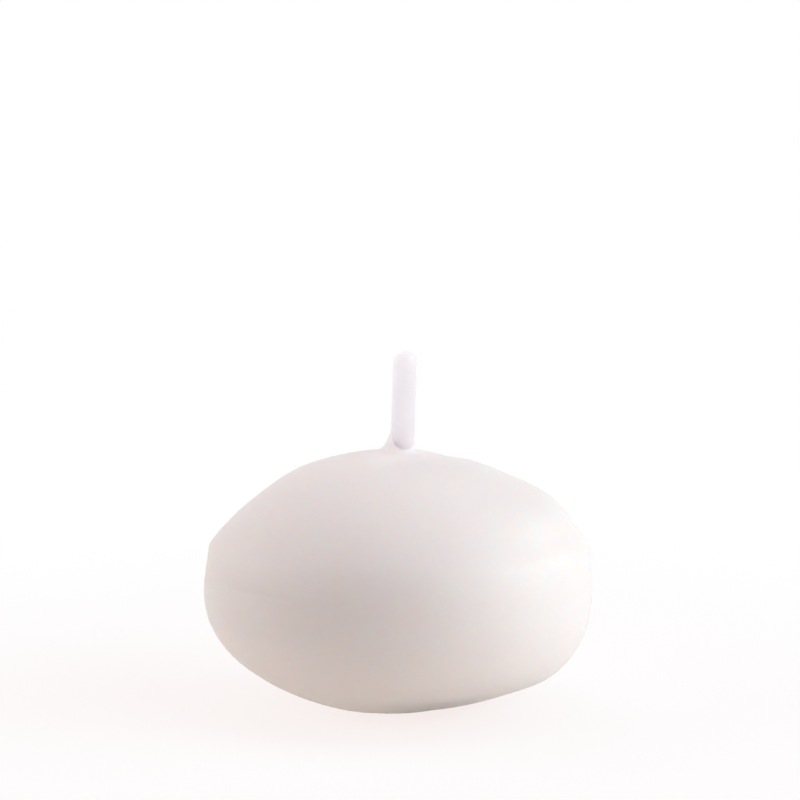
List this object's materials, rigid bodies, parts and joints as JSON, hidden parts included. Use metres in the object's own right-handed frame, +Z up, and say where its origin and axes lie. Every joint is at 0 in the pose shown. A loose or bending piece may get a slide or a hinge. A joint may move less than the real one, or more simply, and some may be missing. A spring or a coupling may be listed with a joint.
{
  "type": "floating candle",
  "caption": "Round pressed wax candle with a domed crown, a tapered band and a bowl underside, floated on water and lit at the waxed wick that stands out of its top.",
  "frame": {"origin": "centre of the flat base that the candle stands on", "axes": "+Z up along the wick's bore, +X the way the wick leans"},
  "size_m": [0.0382, 0.038, 0.0353],
  "materials": {
    "wax": "satin, slightly translucent white wax",
    "waxed_cotton": "white cotton braid under a smooth coat of wax",
    "tinplate": "plain tinned sheet steel"
  },
  "bodies": {
    "root": {"wax_body": "wax", "wick": "waxed_cotton", "wick_clip": "tinplate"}
  },
  "joints": []
}
